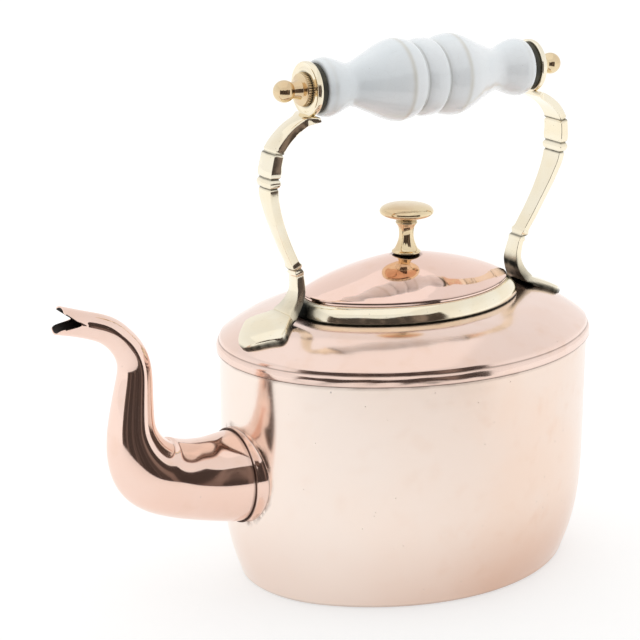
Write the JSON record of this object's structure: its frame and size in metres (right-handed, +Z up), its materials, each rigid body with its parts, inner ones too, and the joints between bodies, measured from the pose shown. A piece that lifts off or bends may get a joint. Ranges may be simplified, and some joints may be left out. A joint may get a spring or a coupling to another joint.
{
  "type": "stovetop kettle",
  "caption": "Oval copper kettle with a domed lift-off lid, swan-neck spout, brass handle straps and a turned ceramic grip.",
  "frame": {"origin": "middle of the base, on the face the kettle stands on", "axes": "+X along the oval's length away from the spout (the spout points along -X), +Y across the oval, +Z up"},
  "size_m": [0.3132, 0.1706, 0.2888],
  "materials": {
    "copper_body": "copper sheet, soft hand-rubbed polish with fine pits",
    "copper_base": "copper sheet, dull, heat-darkened",
    "copper_shoulder": "copper sheet, polished",
    "copper_spout": "copper, mirror polish",
    "copper_lid": "copper sheet, mirror polish",
    "brass_ring": "cast brass, polished, dark tarnish in the joint",
    "brass_handle": "cast brass, polished, dark tarnish in the corners",
    "brass_turned": "turned brass, polished",
    "brass_rivets": "brass, dull",
    "black_washer": "blackened fibre washer",
    "grip_porcelain": "white glazed porcelain, glossy"
  },
  "bodies": {
    "kettle": {"body_wall": "copper_body", "base_plate": "copper_base", "shoulder": "copper_shoulder", "lid_ring": "brass_ring", "spout": "copper_spout", "spout_collar": "copper_spout", "front_bracket": "brass_handle", "rear_bracket": "brass_handle", "front_rivets": "brass_rivets", "rear_rivets": "brass_rivets", "front_burrs": "copper_base", "rear_burrs": "copper_base", "grip_rod": "brass_rivets", "front_grip_washer": "black_washer", "rear_grip_washer": "black_washer", "front_ball_nut": "brass_turned", "rear_ball_nut": "brass_turned"},
    "lid": {"lid_dome": "copper_lid", "lid_skirt": "copper_lid", "lid_knob": "brass_turned", "knob_washer": "brass_turned", "knob_nut": "brass_turned"},
    "grip": {"grip": "grip_porcelain"}
  },
  "joints": [
    {"name": "lid_lift", "type": "slide", "parent": "kettle", "child": "lid", "axis": [0, 0, 1], "range_m": [0, 0.04]},
    {"name": "grip_turn", "type": "hinge", "parent": "kettle", "child": "grip", "pos_m": [0.0086, 0, 0.2672], "axis": [1, 0, 0], "continuous": true}
  ]
}
